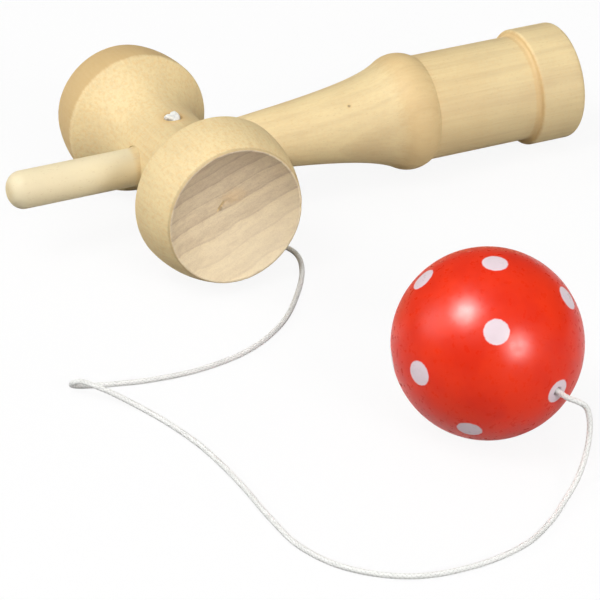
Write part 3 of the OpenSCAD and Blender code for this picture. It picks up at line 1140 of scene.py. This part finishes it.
@dataclass
class Handle:
    """One turned piece: spike, neck, bulge, grip and base ring with its cup."""

    spike_reach: float = 52.0 * MM
    spike: float = 5.6 * MM
    tip_round: float = 4.6 * MM
    root: float = 6.0 * MM
    root_at: float = -10.9 * MM
    root_taper: float = 3.0 * MM
    neck: float = 7.4 * MM
    neck_at: float = 13.7 * MM
    neck_slope: float = 5.0
    neck_pull: float = 0.53
    flare_slope: float = 30.0
    flare_pull: float = 0.14
    shoulder_at: float = 4.0 * MM
    bulge_at: float = 74.4 * MM
    bulge: float = 17.7 * MM
    bulge_round: float = 9.0 * MM
    grip: float = 15.9 * MM
    ring_at: float = 113.6 * MM
    ring: float = 17.8 * MM
    base_at: float = 128.2 * MM
    base_round: float = 1.8 * MM
    cup: float = 14.7 * MM
    cup_depth: float = 6.6 * MM
    string_bore: float = 1.4 * MM
    sides: int = 192
    string_sides: int = 48
    obj: bpy.types.Object | None = field(init=False, default=None)

    def outline(self) -> list[list[Point]]:
        """Outline of the handle from the spike's tip to the bottom of the base's cup.

        Returns:
            Its smooth stretches, in order.
        """
        tip = (self.spike - self.tip_round, self.tip_round - self.spike_reach)
        crown = (self.bulge - self.bulge_round, self.bulge_at)
        lean = math.radians(self.flare_slope)
        start = (self.neck, self.neck_at)
        end = (
            crown[0] + self.bulge_round * math.cos(lean),
            crown[1] - self.bulge_round * math.sin(lean),
        )
        length = end[1] - start[1]
        out = self.neck_pull * length
        back = self.flare_pull * length
        bow = (start[0] + out * math.tan(math.radians(self.neck_slope)), start[1] + out)
        flare = (end[0] - back * math.tan(lean), end[1] - back)
        seam = math.degrees(math.acos((self.grip - crown[0]) / self.bulge_round))
        step = (self.ring - self.grip) / 2
        foot = (self.ring - self.base_round, self.base_at - self.base_round)
        crease = (self.grip, crown[1] + self.bulge_round * math.sin(math.radians(seam)))
        before_root = (self.spike, self.root_at - self.root_taper)
        spike = line((0, -self.spike_reach), (tip[0], -self.spike_reach), gap=0.4 * MM)
        spike += arc(tip, self.tip_round, -90, 0, steps=24)
        spike += line((self.spike, tip[1]), before_root)
        neck = line((self.neck, self.shoulder_at), start)
        neck += curve([start, bow, flare, end], steps=56)
        neck += arc(crown, self.bulge_round, -self.flare_slope, seam, steps=48)
        grip = line(crease, (self.grip, self.ring_at - 2 * step))
        grip += arc((self.grip + step, self.ring_at - step), step, 180, 90, steps=16)
        ring = arc((self.ring - step, self.ring_at + step), step, -90, 0, steps=16)
        ring += line((self.ring, self.ring_at + 2 * step), (self.ring, foot[1]))
        ring += arc(foot, self.base_round, 0, 90, steps=16)
        ring += line((foot[0], self.base_at), (self.cup, self.base_at), gap=0.6 * MM)
        root = stepped(
            before_root,
            (self.root, self.root_at),
            (self.root, self.shoulder_at),
            (self.neck, self.shoulder_at),
        )
        cup = hollow(self.cup, self.base_at, self.cup_depth, 1, steps=48)
        return [spike, *root, neck, grip, ring, cup]

    def build(self, rest: Matrix) -> None:
        """Turns the handle, bores it for the string and replaces the plain solid.

        Args:
            rest: The toy's resting place.
        """
        mesh = turned_mesh("handle_form", self.outline(), self.sides)
        along = rest @ Matrix.Rotation(math.radians(90), 4, "Y")
        self.obj = placed("turned_handle", mesh, along)
        span = 2 * self.root
        hole = self.string_bore
        bore = stepped((0, -span), (hole, -span), (hole, span), (0, span))
        cutter = placed("string_bore", turned_mesh("string_bore", bore, self.string_sides), rest)
        bored(self.obj, [cutter])
        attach(self.obj, "toy")
        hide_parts("handle")

    def dress(self) -> None:
        """Gives the handle its wood, with long straight grain, a warmer crown and base step, and a
        painted sheen: the spike painted paler.
        """
        radius = bowl_radius(self.cup, self.cup_depth)
        finish = WoodFinish(
            "handle_wood",
            heart=(-24.5, 80.0, 0.0),
            ring_gap=5.0,
            ring_depth=0.22,
            edge=94.8,
            fleck=0.3,
            stain_and_sheen_rings=(
                StainAndSheenRing(74.0, 3.5, 0.4, 5.0),
                StainAndSheenRing(112.9, 0.6, 0.42, 0.8),
                StainAndSheenRing(88.0, 5.0, 0.12, 6.0),
                # Painted sheen: the whole spike is painted paler
                StainAndSheenRing(-33.0, 18.0, 0.85, 2.0, (0.93, 0.815, 0.555)),
            ),
            marks=(Mark((-9.0, -7.5, 53.2), (0.36, 0.36, 0.4), 0.6, 0.35),),
            hollows=(RawHollow((self.base_at - self.cup_depth + radius) / MM, radius / MM),),
        )
        dress(self.obj, finish)


@dataclass
class Ball:
    """Lacquered ball, bored through along one axis: spike hole, bead chamber, string outlet."""

    centre: Triple = (-9.0 * MM, -77.5 * MM, 25.5 * MM)
    heading: float = -72.0
    drop: float = 9.0
    radius: float = 25.5 * MM
    bore: float = 8.0 * MM
    bore_depth: float = 32.0 * MM
    bevel: float = 1.4 * MM
    chamber: float = 4.8 * MM
    chamber_wall: float = 7.0 * MM
    string_bore: float = 1.2 * MM
    lip: float = 0.35 * MM
    dot: float = 3.36 * MM
    sides: int = 192
    # Dots as (angle from the outlet, turn about the axis) in degrees; the turn starts at the top
    dots: tuple[Point, ...] = (
        (0, 0), (59.4, 35.9), (58.7, 121.5), (58.8, 193), (58.8, 257), (58.2, -38.4),
        (93.2, -0.3), (91.0, 85.7), (91, 160), (91, 228), (91, -64),
        (127.2, 33.4), (127, 106), (127, 178), (127, 250), (127, -38),
    )  # fmt: skip
    obj: bpy.types.Object | None = field(init=False, default=None)

    def outlet(self) -> Vector:
        """Finds where the string leaves the ball.

        Returns:
            The direction from the ball's centre.
        """
        turn, drop = math.radians(self.heading), math.radians(self.drop)
        level = math.cos(drop)
        return Vector((level * math.cos(turn), level * math.sin(turn), -math.sin(drop)))

    def frame(self) -> Matrix:
        """Finds how the ball lies.

        Returns:
            Its place, with Z along the outlet and X as far up as it can be.
        """
        z = self.outlet()
        x = (Vector((0, 0, 1)) - z * z.z).normalized()
        axes = Matrix((x, z.cross(x), z)).transposed().to_4x4()
        return Matrix.Translation(self.centre) @ axes

    def build(self) -> None:
        """Turns the ball with all its holes and replaces the plain solid."""
        mouth = self.bore + self.bevel
        top = math.degrees(math.asin((self.string_bore + self.lip) / self.radius))
        low = math.degrees(math.asin(mouth / self.radius))
        out = self.radius * math.cos(math.radians(top))
        deep = self.radius * math.cos(math.radians(low))
        floor = self.bore_depth - self.radius
        ceiling = self.radius - self.chamber_wall
        hole = (self.string_bore, out - self.lip)
        bevel_end = (self.bore, -deep + self.bevel)
        runs = [
            line((self.string_bore, ceiling), hole),
            curve([hole, (self.string_bore, out), (self.string_bore + self.lip, out)], steps=8),
            arc((0, 0), self.radius, 90 - top, low - 90, steps=128),
            line((mouth, -deep), bevel_end, gap=0.5 * MM),
            *stepped(
                bevel_end,
                (self.bore, floor),
                (self.chamber, floor),
                (self.chamber, ceiling),
                (self.string_bore, ceiling),
            ),
        ]
        mesh = turned_mesh("ball_form", runs, self.sides, closed=True)
        mesh.transform(self.frame().to_3x3().to_4x4())
        self.obj = placed("painted_ball", mesh, Matrix.Translation(self.centre))
        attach(self.obj, "ball")
        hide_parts("ball")

    def dress(self) -> None:
        """Lacquers the ball red and paints its dots."""
        directions = []
        lie = self.frame().to_3x3()
        for away, turn in self.dots:
            a, t = math.radians(away), math.radians(turn)
            spot = Vector((math.sin(a) * math.cos(t), math.sin(a) * math.sin(t), math.cos(a)))
            directions.append(tuple(lie @ spot))
        angle = math.degrees(math.asin(self.dot / self.radius))
        dress(self.obj, DottedLacquer("red_lacquer", tuple(directions), angle))


@dataclass
class StringRun:
    """The braided string from the cross piece round to the ball, in two lengths."""

    radius: float = 0.75 * MM
    relief: float = 0.12 * MM
    mean_height: float = 0.62
    strands: int = 4
    plait: float = 1.15 * MM
    strand_ends: float = 0.6
    sides: int = 24
    step: float = 0.2 * MM
    lie: float = 0.8
    # Points of the route at which the string folds, changes from one length to the other and lifts
    fold_at: int = 10
    seam_at: int = 23
    lift_at: int = 25
    fold_half: float = 0.012
    lift_length: float = 0.026
    path_every: int = 4
    pieces: list[bpy.types.Object] = field(init=False, default_factory=list)
    lines: list[np.ndarray] = field(init=False, default_factory=list)

    def route(self, end: Vector, leave: Vector) -> tuple[np.ndarray, np.ndarray]:
        """Points that the string runs through and its headings there.

        Args:
            end: Where the string ends, under the bead in the ball.
            leave: Direction in which the string leaves the ball.

        Returns:
            The points in metres and the unit headings.
        """
        lie = self.lie
        points = [
            (-38.5, 61.5, 9.3), (-38, 61, 4), (-35, 58.5, 1.2), (-28, 52, lie),
            (-20, 42, lie), (-15, 31, lie), (-17.2, 20.4, lie), (-25.6, 6.6, lie),
            (-36, -5.2, lie), (-50, -13.6, lie), (-66, -16.4, lie), (-80, -15, lie),
            (-90.6, -11.9, lie), (-97.6, -9.1, lie), (-99.6, -8.8, 1.3), (-100.9, -9.8, 2.6),
            (-100.7, -11.3, 4), (-99.2, -12.8, 4.7), (-96.8, -16, 4.5), (-93.6, -19.5, 3.4),
            (-89.9, -24.5, 1.9), (-86.8, -30.2, 0.9), (-84.2, -38.4, lie), (-81.3, -51.6, lie),
            (-79.9, -65, lie), (-79.4, -78, lie), (-79.4, -91, lie), (-78, -107, lie),
            (-71.3, -121.2, lie), (-58.5, -131.6, lie), (-43, -134.6, lie), (-28, -132.4, lie),
            (-17.2, -126.4, lie), (-9.2, -119.9, 1.2), (-3.5, -115.8, 3.2), (0.6, -112.7, 7),
            (3, -110.5, 11), (4.1, -108.8, 15.3), (3.7, -107.6, 18.6), (1.8, -106.8, 20.4),
            (-0.4, -104.9, 21.3), (-1.2, -101.5, 21.5),
        ]  # fmt: skip
        way = np.array([*points, tuple(v / MM for v in end)], float) * MM
        heads = np.empty_like(way)
        heads[1:-1] = way[2:] - way[:-2]
        heads[0] = (0, 0, -1)
        heads[-1] = -np.array(leave)
        return way, unit(heads)

    def centreline(self, way: np.ndarray, heads: np.ndarray) -> tuple[np.ndarray, list[int]]:
        """Even points along the smooth curve through the route.

        Args:
            way: The route's points.
            heads: The headings there.

        Returns:
            The points about one step apart, and the index of each route point among them.
        """
        made: list[np.ndarray] = []
        marks = [0]
        for i in range(len(way) - 1):
            span = np.linalg.norm(way[i + 1] - way[i])
            count = max(2, round(span / self.step))
            t = (np.arange(count) / count)[:, None]
            t2, t3 = t * t, t * t * t
            made.append(
                (2 * t3 - 3 * t2 + 1) * way[i]
                + (t3 - 2 * t2 + t) * span * heads[i]
                + (3 * t2 - 2 * t3) * way[i + 1]
                + (t3 - t2) * span * heads[i + 1]
            )
            marks.append(marks[-1] + count)
        return np.vstack([*made, way[-1:]]), marks

    def untwisted(self, centres: np.ndarray) -> np.ndarray:
        """Carries a sideways direction along the string without twisting it.

        Args:
            centres: Points of the centreline.

        Returns:
            The direction at each of them.
        """
        side = np.empty_like(centres)
        carried = np.array((1.0, 0.0, 0.0))
        for i, ahead in enumerate(unit(np.gradient(centres, axis=0))):
            carried = carried - (carried @ ahead) * ahead
            carried /= np.linalg.norm(carried)
            side[i] = carried
        return side

    def braid(self, turn: np.ndarray, along: np.ndarray) -> np.ndarray:
        """Height of the braid's strands, from 0 to 1.

        Args:
            turn: Angles round the string.
            along: Distances along it.

        Returns:
            The height at each pair of the two.
        """
        u = turn * self.strands / (2 * math.pi) + along / self.plait
        v = turn * self.strands / (2 * math.pi) - along / self.plait
        fu, fv = u - np.floor(u), v - np.floor(v)
        over = (np.floor(u) + np.floor(v)) % 2 < 1
        low, rise = self.strand_ends, 1 - self.strand_ends
        first = (1 - (2 * fv - 1) ** 2) * (low + rise * np.sin(math.pi * fu))
        second = (1 - (2 * fu - 1) ** 2) * (low + rise * np.sin(math.pi * fv))
        return np.where(over, first, second)

    def tube(
        self, name: str, centres: np.ndarray, along: np.ndarray, side: np.ndarray
    ) -> bpy.types.Mesh:
        """Closed mesh of one length of braid.

        Args:
            name: Name of the mesh.
            centres: Points of the centreline.
            along: Distance of each from the string's start.
            side: A direction square to the line at each point, carried along without twist.

        Returns:
            The mesh.
        """
        ahead = unit(np.gradient(centres, axis=0))
        side = unit(side - (side * ahead).sum(1, keepdims=True) * ahead)
        height = self.braid(round_turns(self.sides)[None, :], along[:, None])
        radius = self.radius + self.relief * (height - self.mean_height)
        rows = len(centres)
        faces = sleeve_faces(rows, self.sides, closed=False)
        faces.append(tuple(range(self.sides))[::-1])
        faces.append(tuple(range((rows - 1) * self.sides, rows * self.sides)))
        mesh = bpy.data.meshes.new(name)
        mesh.from_pydata(sleeve(centres, side, np.cross(ahead, side), radius), [], faces)
        for polygon in mesh.polygons:
            polygon.use_smooth = len(polygon.vertices) == 4
        mark_strands(mesh, height)
        return mesh

    def build(self, end: Vector, leave: Vector) -> None:
        """Lays both lengths of the string along their route.

        Args:
            end: Where the string ends, under the bead in the ball.
            leave: Direction in which the string leaves the ball.
        """
        way, heads = self.route(end, leave)
        centres, marks = self.centreline(way, heads)
        steps = np.linalg.norm(np.diff(centres, axis=0), axis=1)
        along = np.concatenate([[0.0], np.cumsum(steps)])
        side = self.untwisted(centres)
        seam = marks[self.seam_at]
        fold, lift = way[self.fold_at], way[self.lift_at]
        half, bend = (self.fold_half, 0, 0), (self.lift_length, 0, 0)
        to_cups = (slice(0, seam + 1), ("string_root", "string_run"), fold + half, fold - half)
        to_ball = (slice(seam, None), ("string_run", "string_end"), lift, lift + bend)
        lengths = {"string_to_cups": to_cups, "string_to_ball": to_ball}
        for name, (part, bodies, start, stop) in lengths.items():
            mesh = self.tube(name, centres[part], along[part], side[part])
            obj = placed(name, mesh, Matrix.Identity(4))
            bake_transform(obj)
            self.pieces.append(obj)
            self.lines.append(centres[part])
        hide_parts("string_inner", "string_middle")
        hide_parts("string_outer")

    def declare(
        self, knot: bpy.types.Object, bead: bpy.types.Object, stop: bpy.types.Object
    ) -> None:
        """Does nothing; both lengths stay as they are laid.

        Args:
            knot: The upper knot; not used.
            bead: The bead in the ball; not used.
            stop: The knot under the bead; not used.
        """

    def dress(self) -> None:
        """Gives both lengths their cotton."""
        for obj in self.pieces:
            dress(obj, CottonFinish("string_cotton"))


@dataclass
class Knot:
    """Overhand knot of the string, pulled tight, with a stem below it."""

    name: str
    body: str
    node: str
    stem: float
    size: float = 0.64 * MM
    rise: float = 1.75
    radius: float = 0.8 * MM
    stem_up: float = 1.5
    rib: float = 0.05
    rib_strands: int = 3
    rib_turns: int = 24
    steps: int = 180
    sides: int = 20
    obj: bpy.types.Object | None = field(init=False, default=None)

    def tied(self) -> bpy.types.Mesh:
        """Ties the loop of the knot, over its seat.

        Returns:
            The loop's mesh.
        """
        t = np.linspace(0, 2 * math.pi, self.steps, endpoint=False)
        loop = self.size * np.stack([
            np.sin(t) + 2 * np.sin(2 * t),
            np.cos(t) - 2 * np.cos(2 * t),
            -self.rise * np.sin(3 * t),
        ], axis=1)
        loop[:, 2] += self.size * self.rise + self.radius
        ahead = unit(np.roll(loop, -1, 0) - np.roll(loop, 1, 0))
        side = unit(np.cross(ahead, (0, 0, 1)))
        twist = self.rib_strands * round_turns(self.sides)[None, :] + self.rib_turns * t[:, None]
        radius = self.radius * (1 + self.rib * np.cos(twist))
        mesh = bpy.data.meshes.new(self.name)
        points = sleeve(loop, side, np.cross(ahead, side), radius)
        mesh.from_pydata(points, [], sleeve_faces(self.steps, self.sides, closed=True))
        return mesh

    def build(self, place: Matrix) -> None:
        """Ties the knot with its stem along -Z of its place and replaces the plain solid.

        Args:
            place: Frame of the knot's seat, with Z away from the stem.
        """
        mesh = self.tied()
        top = self.stem_up * self.radius
        outline = stepped((0, -self.stem), (self.radius, -self.stem), (self.radius, top), (0, top))
        stem = turned_mesh("stem", outline, self.sides)
        bm = bmesh.new()
        bm.from_mesh(mesh)
        bm.from_mesh(stem)
        bmesh.ops.recalc_face_normals(bm, faces=bm.faces)
        for face in bm.faces:
            face.smooth = True
        bm.to_mesh(mesh)
        bm.free()
        bpy.data.meshes.remove(stem)
        mark_strands(mesh, np.full(len(mesh.vertices), 1.0))
        self.obj = placed(self.name, mesh, place)
        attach(self.obj, self.body)
        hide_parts(self.node)

    def dress(self) -> None:
        """Gives the knot its cotton."""
        dress(self.obj, CottonFinish("knot_cotton"))


@dataclass
class Bead:
    """Barrel bead that keeps the string in the ball."""

    radius: float = 4.2 * MM
    length: float = 6.4 * MM
    bore: float = 0.95 * MM
    edge: float = 2.0 * MM
    sides: int = 64
    obj: bpy.types.Object | None = field(init=False, default=None)

    def build(self, place: Matrix) -> None:
        """Turns the bead at its place in the ball and replaces the plain solid.

        Args:
            place: Frame of the bead's lower end, with Z towards the outlet.
        """
        side = self.radius - self.edge
        barrel = line((self.bore, 0), (side, 0), gap=0.4 * MM)
        barrel += arc((side, self.edge), self.edge, -90, 0, steps=12)
        barrel += arc((side, self.length - self.edge), self.edge, 0, 90, steps=12)
        barrel += line((side, self.length), (self.bore, self.length), gap=0.4 * MM)
        runs = [barrel, line((self.bore, self.length), (self.bore, 0))]
        mesh = turned_mesh("bead_form", runs, self.sides, closed=True)
        self.obj = placed("string_bead", mesh, place)
        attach(self.obj, "string_end")
        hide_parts("bead")

    def dress(self) -> None:
        """Gives the bead its wood."""
        finish = WoodFinish("bead_wood", heart=(6.0, 9.0, 0.0), ring_gap=1.2)
        dress(self.obj, finish)


# Studio


@dataclass(frozen=True)
class Camera:
    """The photograph's view of a 600 by 600 frame, as the camera's place and axes."""

    place: Triple = (-0.369507, -0.752828, 0.487113)
    right: Triple = (0.9028828, -0.4289067, -0.0290122)
    up: Triple = (0.2392313, 0.445235, 0.8628639)
    back: Triple = (-0.3571708, -0.7860056, 0.5046029)
    lens: float = 204.0
    sensor: float = 36.0
    near: float = 0.01
    far: float = 50.0

    def build(self) -> None:
        """Makes the scene's camera."""
        data = bpy.data.cameras.new("photo_view")
        data.lens, data.sensor_width = self.lens, self.sensor
        data.clip_start, data.clip_end = self.near, self.far
        axes = Matrix((self.right, self.up, self.back)).transposed().to_4x4()
        obj = placed("photo_view", data, Matrix.Translation(self.place) @ axes)
        bpy.context.scene.camera = obj


class LampUse(Enum):
    """What a lamp is for."""

    FILL = "light only"
    GLEAM = "gleam only"


@dataclass(frozen=True)
class Softbox:
    """A square lamp: the direction it stands in, its distance, its width, its share and its use.

    The share is how bright a white surface that faces the lamp is by it alone.
    """

    name: str
    towards: Triple
    distance: float
    width: float
    share: float
    use: LampUse

    def build(self, target: Vector) -> None:
        """Hangs the lamp so that it faces the object.

        Args:
            target: The point that it faces.
        """
        data = bpy.data.lights.new(self.name, "AREA")
        data.shape, data.size = "SQUARE", self.width
        data.energy = self.share * (math.pi * self.distance) ** 2
        obj = placed(self.name, data, Matrix.Identity(4))
        away = Vector(self.towards).normalized()
        obj.location = target + away * self.distance
        obj.rotation_mode = "QUATERNION"
        obj.rotation_quaternion = away.to_track_quat("Z", "Y")
        obj.visible_diffuse = self.use is LampUse.FILL
        obj.visible_glossy = self.use is LampUse.GLEAM


@dataclass
class Studio:
    """Pale floor that rises far away, even dim surroundings and softboxes."""

    target: Triple = (0.0, -0.02, 0.03)
    ambient: float = 0.18
    floor_level: float = -0.03 * MM
    floor_pale: float = 0.32
    floor_bright: float = 0.95
    floor_shadow: float = 0.1
    floor_radius: float = 9.0
    floor_sides: int = 96
    rise: float = 4.0
    lamps: tuple[Softbox, ...] = (
        Softbox("sky_fill", (0.0, -0.1, 1.0), 2.2, 4.0, 0.28, LampUse.FILL),
        Softbox("key", (-0.50, -0.11, 0.857), 1.2, 0.4, 0.23, LampUse.FILL),
        Softbox("left_fill", (-0.85, 0.5, 0.45), 1.5, 0.6, 0.38, LampUse.FILL),
        Softbox("right_fill", (0.7, -0.7, 0.14), 1.6, 0.6, 0.12, LampUse.FILL),
        Softbox("high_front_fill", (-0.3, -0.6, 0.75), 1.8, 1.3, 0.2, LampUse.FILL),
        Softbox("front_fill", (0.1, -0.89, 0.45), 1.6, 0.5, 0.38, LampUse.FILL),
        Softbox("key_gleam", (-0.50, -0.11, 0.857), 1.2, 0.46, 3.0, LampUse.GLEAM),
        Softbox("left_gleam", (-0.85, 0.21, 0.49), 1.5, 0.75, 0.45, LampUse.GLEAM),
        Softbox("front_gleam", (0.17, -0.92, 0.36), 1.6, 0.6, 1.6, LampUse.GLEAM),
    )

    def build(self) -> None:
        """Makes the surroundings, the floor and the lamps."""
        scene = bpy.context.scene
        scene.view_settings.view_transform = "Standard"
        world = bpy.data.worlds.new("surroundings")
        world.use_nodes = True
        scene.world = world
        back = world.node_tree.nodes["Background"]
        back.inputs["Color"].default_value = (1, 1, 1, 1)
        back.inputs["Strength"].default_value = self.ambient
        self.floor()
        for lamp in self.lamps:
            lamp.build(Vector(self.target))

    def floor(self) -> None:
        """Lays the pale floor; the camera sees it nearly white, with the object's soft shadow."""
        radius, level = self.floor_radius, self.floor_level
        dish = line((0.0, level), (radius, level), gap=1.0)
        dish += arc((radius, level + self.rise), self.rise, -90, 0, steps=24)
        mesh = turned_mesh("floor", [dish], self.floor_sides)
        obj = placed("floor", mesh, Matrix.Identity(4))
        mesh.flip_normals()
        mesh.materials.append(self.floor_finish())
        obj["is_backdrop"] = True

    def floor_finish(self) -> bpy.types.Material:
        """Paints the floor: pale to the object, bright in its gloss and white to the camera.

        Returns:
            The material.
        """
        g = Grain("floor")
        g.tree.nodes.remove(g.shader)
        pale, bright = (
            g.node("ShaderNodeBsdfDiffuse", {"Color": (tone,) * 3}).outputs[0]
            for tone in (self.floor_pale, self.floor_bright)
        )
        white = g.node("ShaderNodeEmission", {"Color": (1.0, 1.0, 1.0)}).outputs[0]
        ray = g.node("ShaderNodeLightPath").outputs
        mirrored = g.math("ADD", ray["Is Glossy Ray"], ray["Is Transmission Ray"], clamp=True)
        faint, shade = (
            g.node("ShaderNodeMixShader", {0: share, 1: first, 2: bright}).outputs[0]
            for share, first in ((self.floor_shadow, white), (mirrored, pale))
        )
        seen = g.node("ShaderNodeMixShader", {0: ray["Is Camera Ray"], 1: shade, 2: faint})
        g.feed(g.tree.nodes["Material Output"].inputs["Surface"], seen.outputs[0])
        return g.material


@dataclass(frozen=True)
class RestingPose:
    """How the handle and cross piece lie: on both widest rings and on the base ring's edge."""

    cross: CrossPiece
    handle: Handle
    place: Point = (-38.0 * MM, 62.0 * MM)

    def matrix(self) -> Matrix:
        """Finds how far the toy leans and tips, from its sizes.

        Returns:
            Place of the toy's middle in the shared frame.
        """
        big, small, h = self.cross.big, self.cross.small, self.handle
        lean = math.atan((big.radius - small.radius) / (big.shoulder + small.shoulder))
        edge = self.cross.shoulder_round
        level = (big.radius - edge) * math.cos(lean) + edge - big.shoulder * math.sin(lean)
        foot = (h.base_at - h.base_round, h.ring - h.base_round)
        pitch = math.asin((level - h.base_round) / math.hypot(*foot)) - math.atan2(foot[1], foot[0])
        roll = -math.asin(math.sin(lean) / math.cos(pitch))
        turn = Matrix.Rotation(pitch, 4, "Y") @ Matrix.Rotation(roll, 4, "X")
        return Matrix.Translation((*self.place, level)) @ turn


def main() -> None:
    """Builds the toy's pieces in order, dresses them and reports each one."""
    logging.basicConfig(level=logging.INFO, format="%(name)s: %(message)s")
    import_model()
    Camera().build()
    ball, bead, string = Ball(), Bead(), StringRun()
    axis = ball.frame()
    bead_end = ball.radius - ball.chamber_wall - SEAT_GAP
    bead_start = bead_end - bead.length
    string.build(axis @ Vector((0, 0, bead_end)), ball.outlet())
    cross, handle = CrossPiece(), Handle()
    rest = RestingPose(cross, handle).matrix()
    seat = cross.waist - cross.pocket_depth + SEAT_GAP
    upper = Knot("knot_in_cross_piece", "toy", "upper_knot", seat + cross.waist)
    upper.build(rest @ Matrix.Translation((0, 0, seat)))
    lower = Knot("knot_in_ball", "string_end", "lower_knot", bead.length + SEAT_GAP)
    under_bead = axis @ Matrix.Translation((0, 0, bead_start - SEAT_GAP))
    lower.build(under_bead @ Matrix.Rotation(math.pi, 4, "X"))
    bead.build(axis @ Matrix.Translation((0, 0, bead_start)))
    string.declare(upper.obj, bead.obj, lower.obj)
    cross.build(rest)
    handle.build(rest)
    ball.build()
    for made in (upper, lower, bead, string, cross, handle, ball):
        made.dress()
    Studio().build()
    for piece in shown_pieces():
        log.info("%s: %d faces", piece.name, len(piece.data.polygons))


if __name__ == "__main__":
    main()
